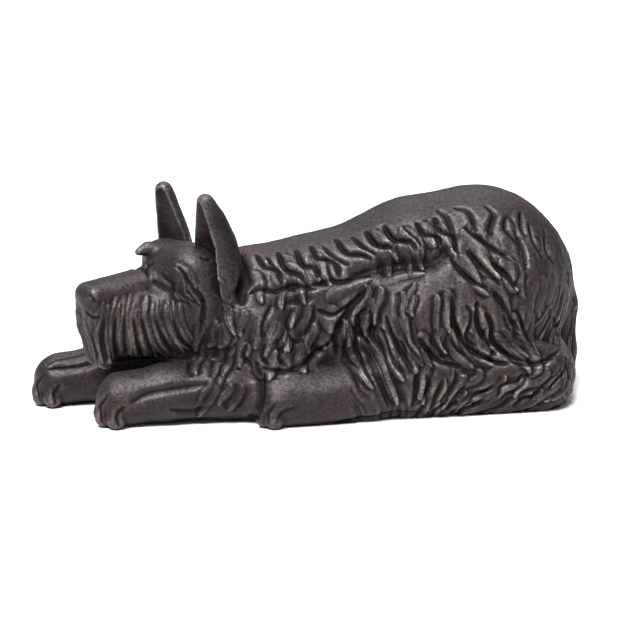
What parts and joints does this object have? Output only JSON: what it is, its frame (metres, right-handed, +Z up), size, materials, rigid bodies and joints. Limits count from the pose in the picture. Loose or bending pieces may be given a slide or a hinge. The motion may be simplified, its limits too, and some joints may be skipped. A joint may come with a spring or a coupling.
{
  "type": "door stop",
  "caption": "Cast-iron door stop in the form of a terrier lying with its chin on its forelegs, a two-part hollow casting with an open underside.",
  "frame": {"origin": "middle of the bottom of the bounding box, on the plane that the door stop stands on", "axes": "+X from the nose to the tail, +Y to the dog's right side, +Z up; the parting plane is Y = 0"},
  "size_m": [0.2908, 0.1132, 0.1165],
  "materials": {
    "patinated_iron": "old brown-black patina, rubbed to a satin sheen on the high places",
    "screw_steel": "blackened steel, worn bright round the slot",
    "pin_steel": "ground"
  },
  "bodies": {
    "root": {"left_casting": "patinated_iron", "right_casting": "patinated_iron", "shoulder_screw": "screw_steel", "loin_screw": "screw_steel", "rump_screw": "screw_steel", "front_locating_pin": "pin_steel", "rear_locating_pin": "pin_steel"}
  },
  "joints": []
}
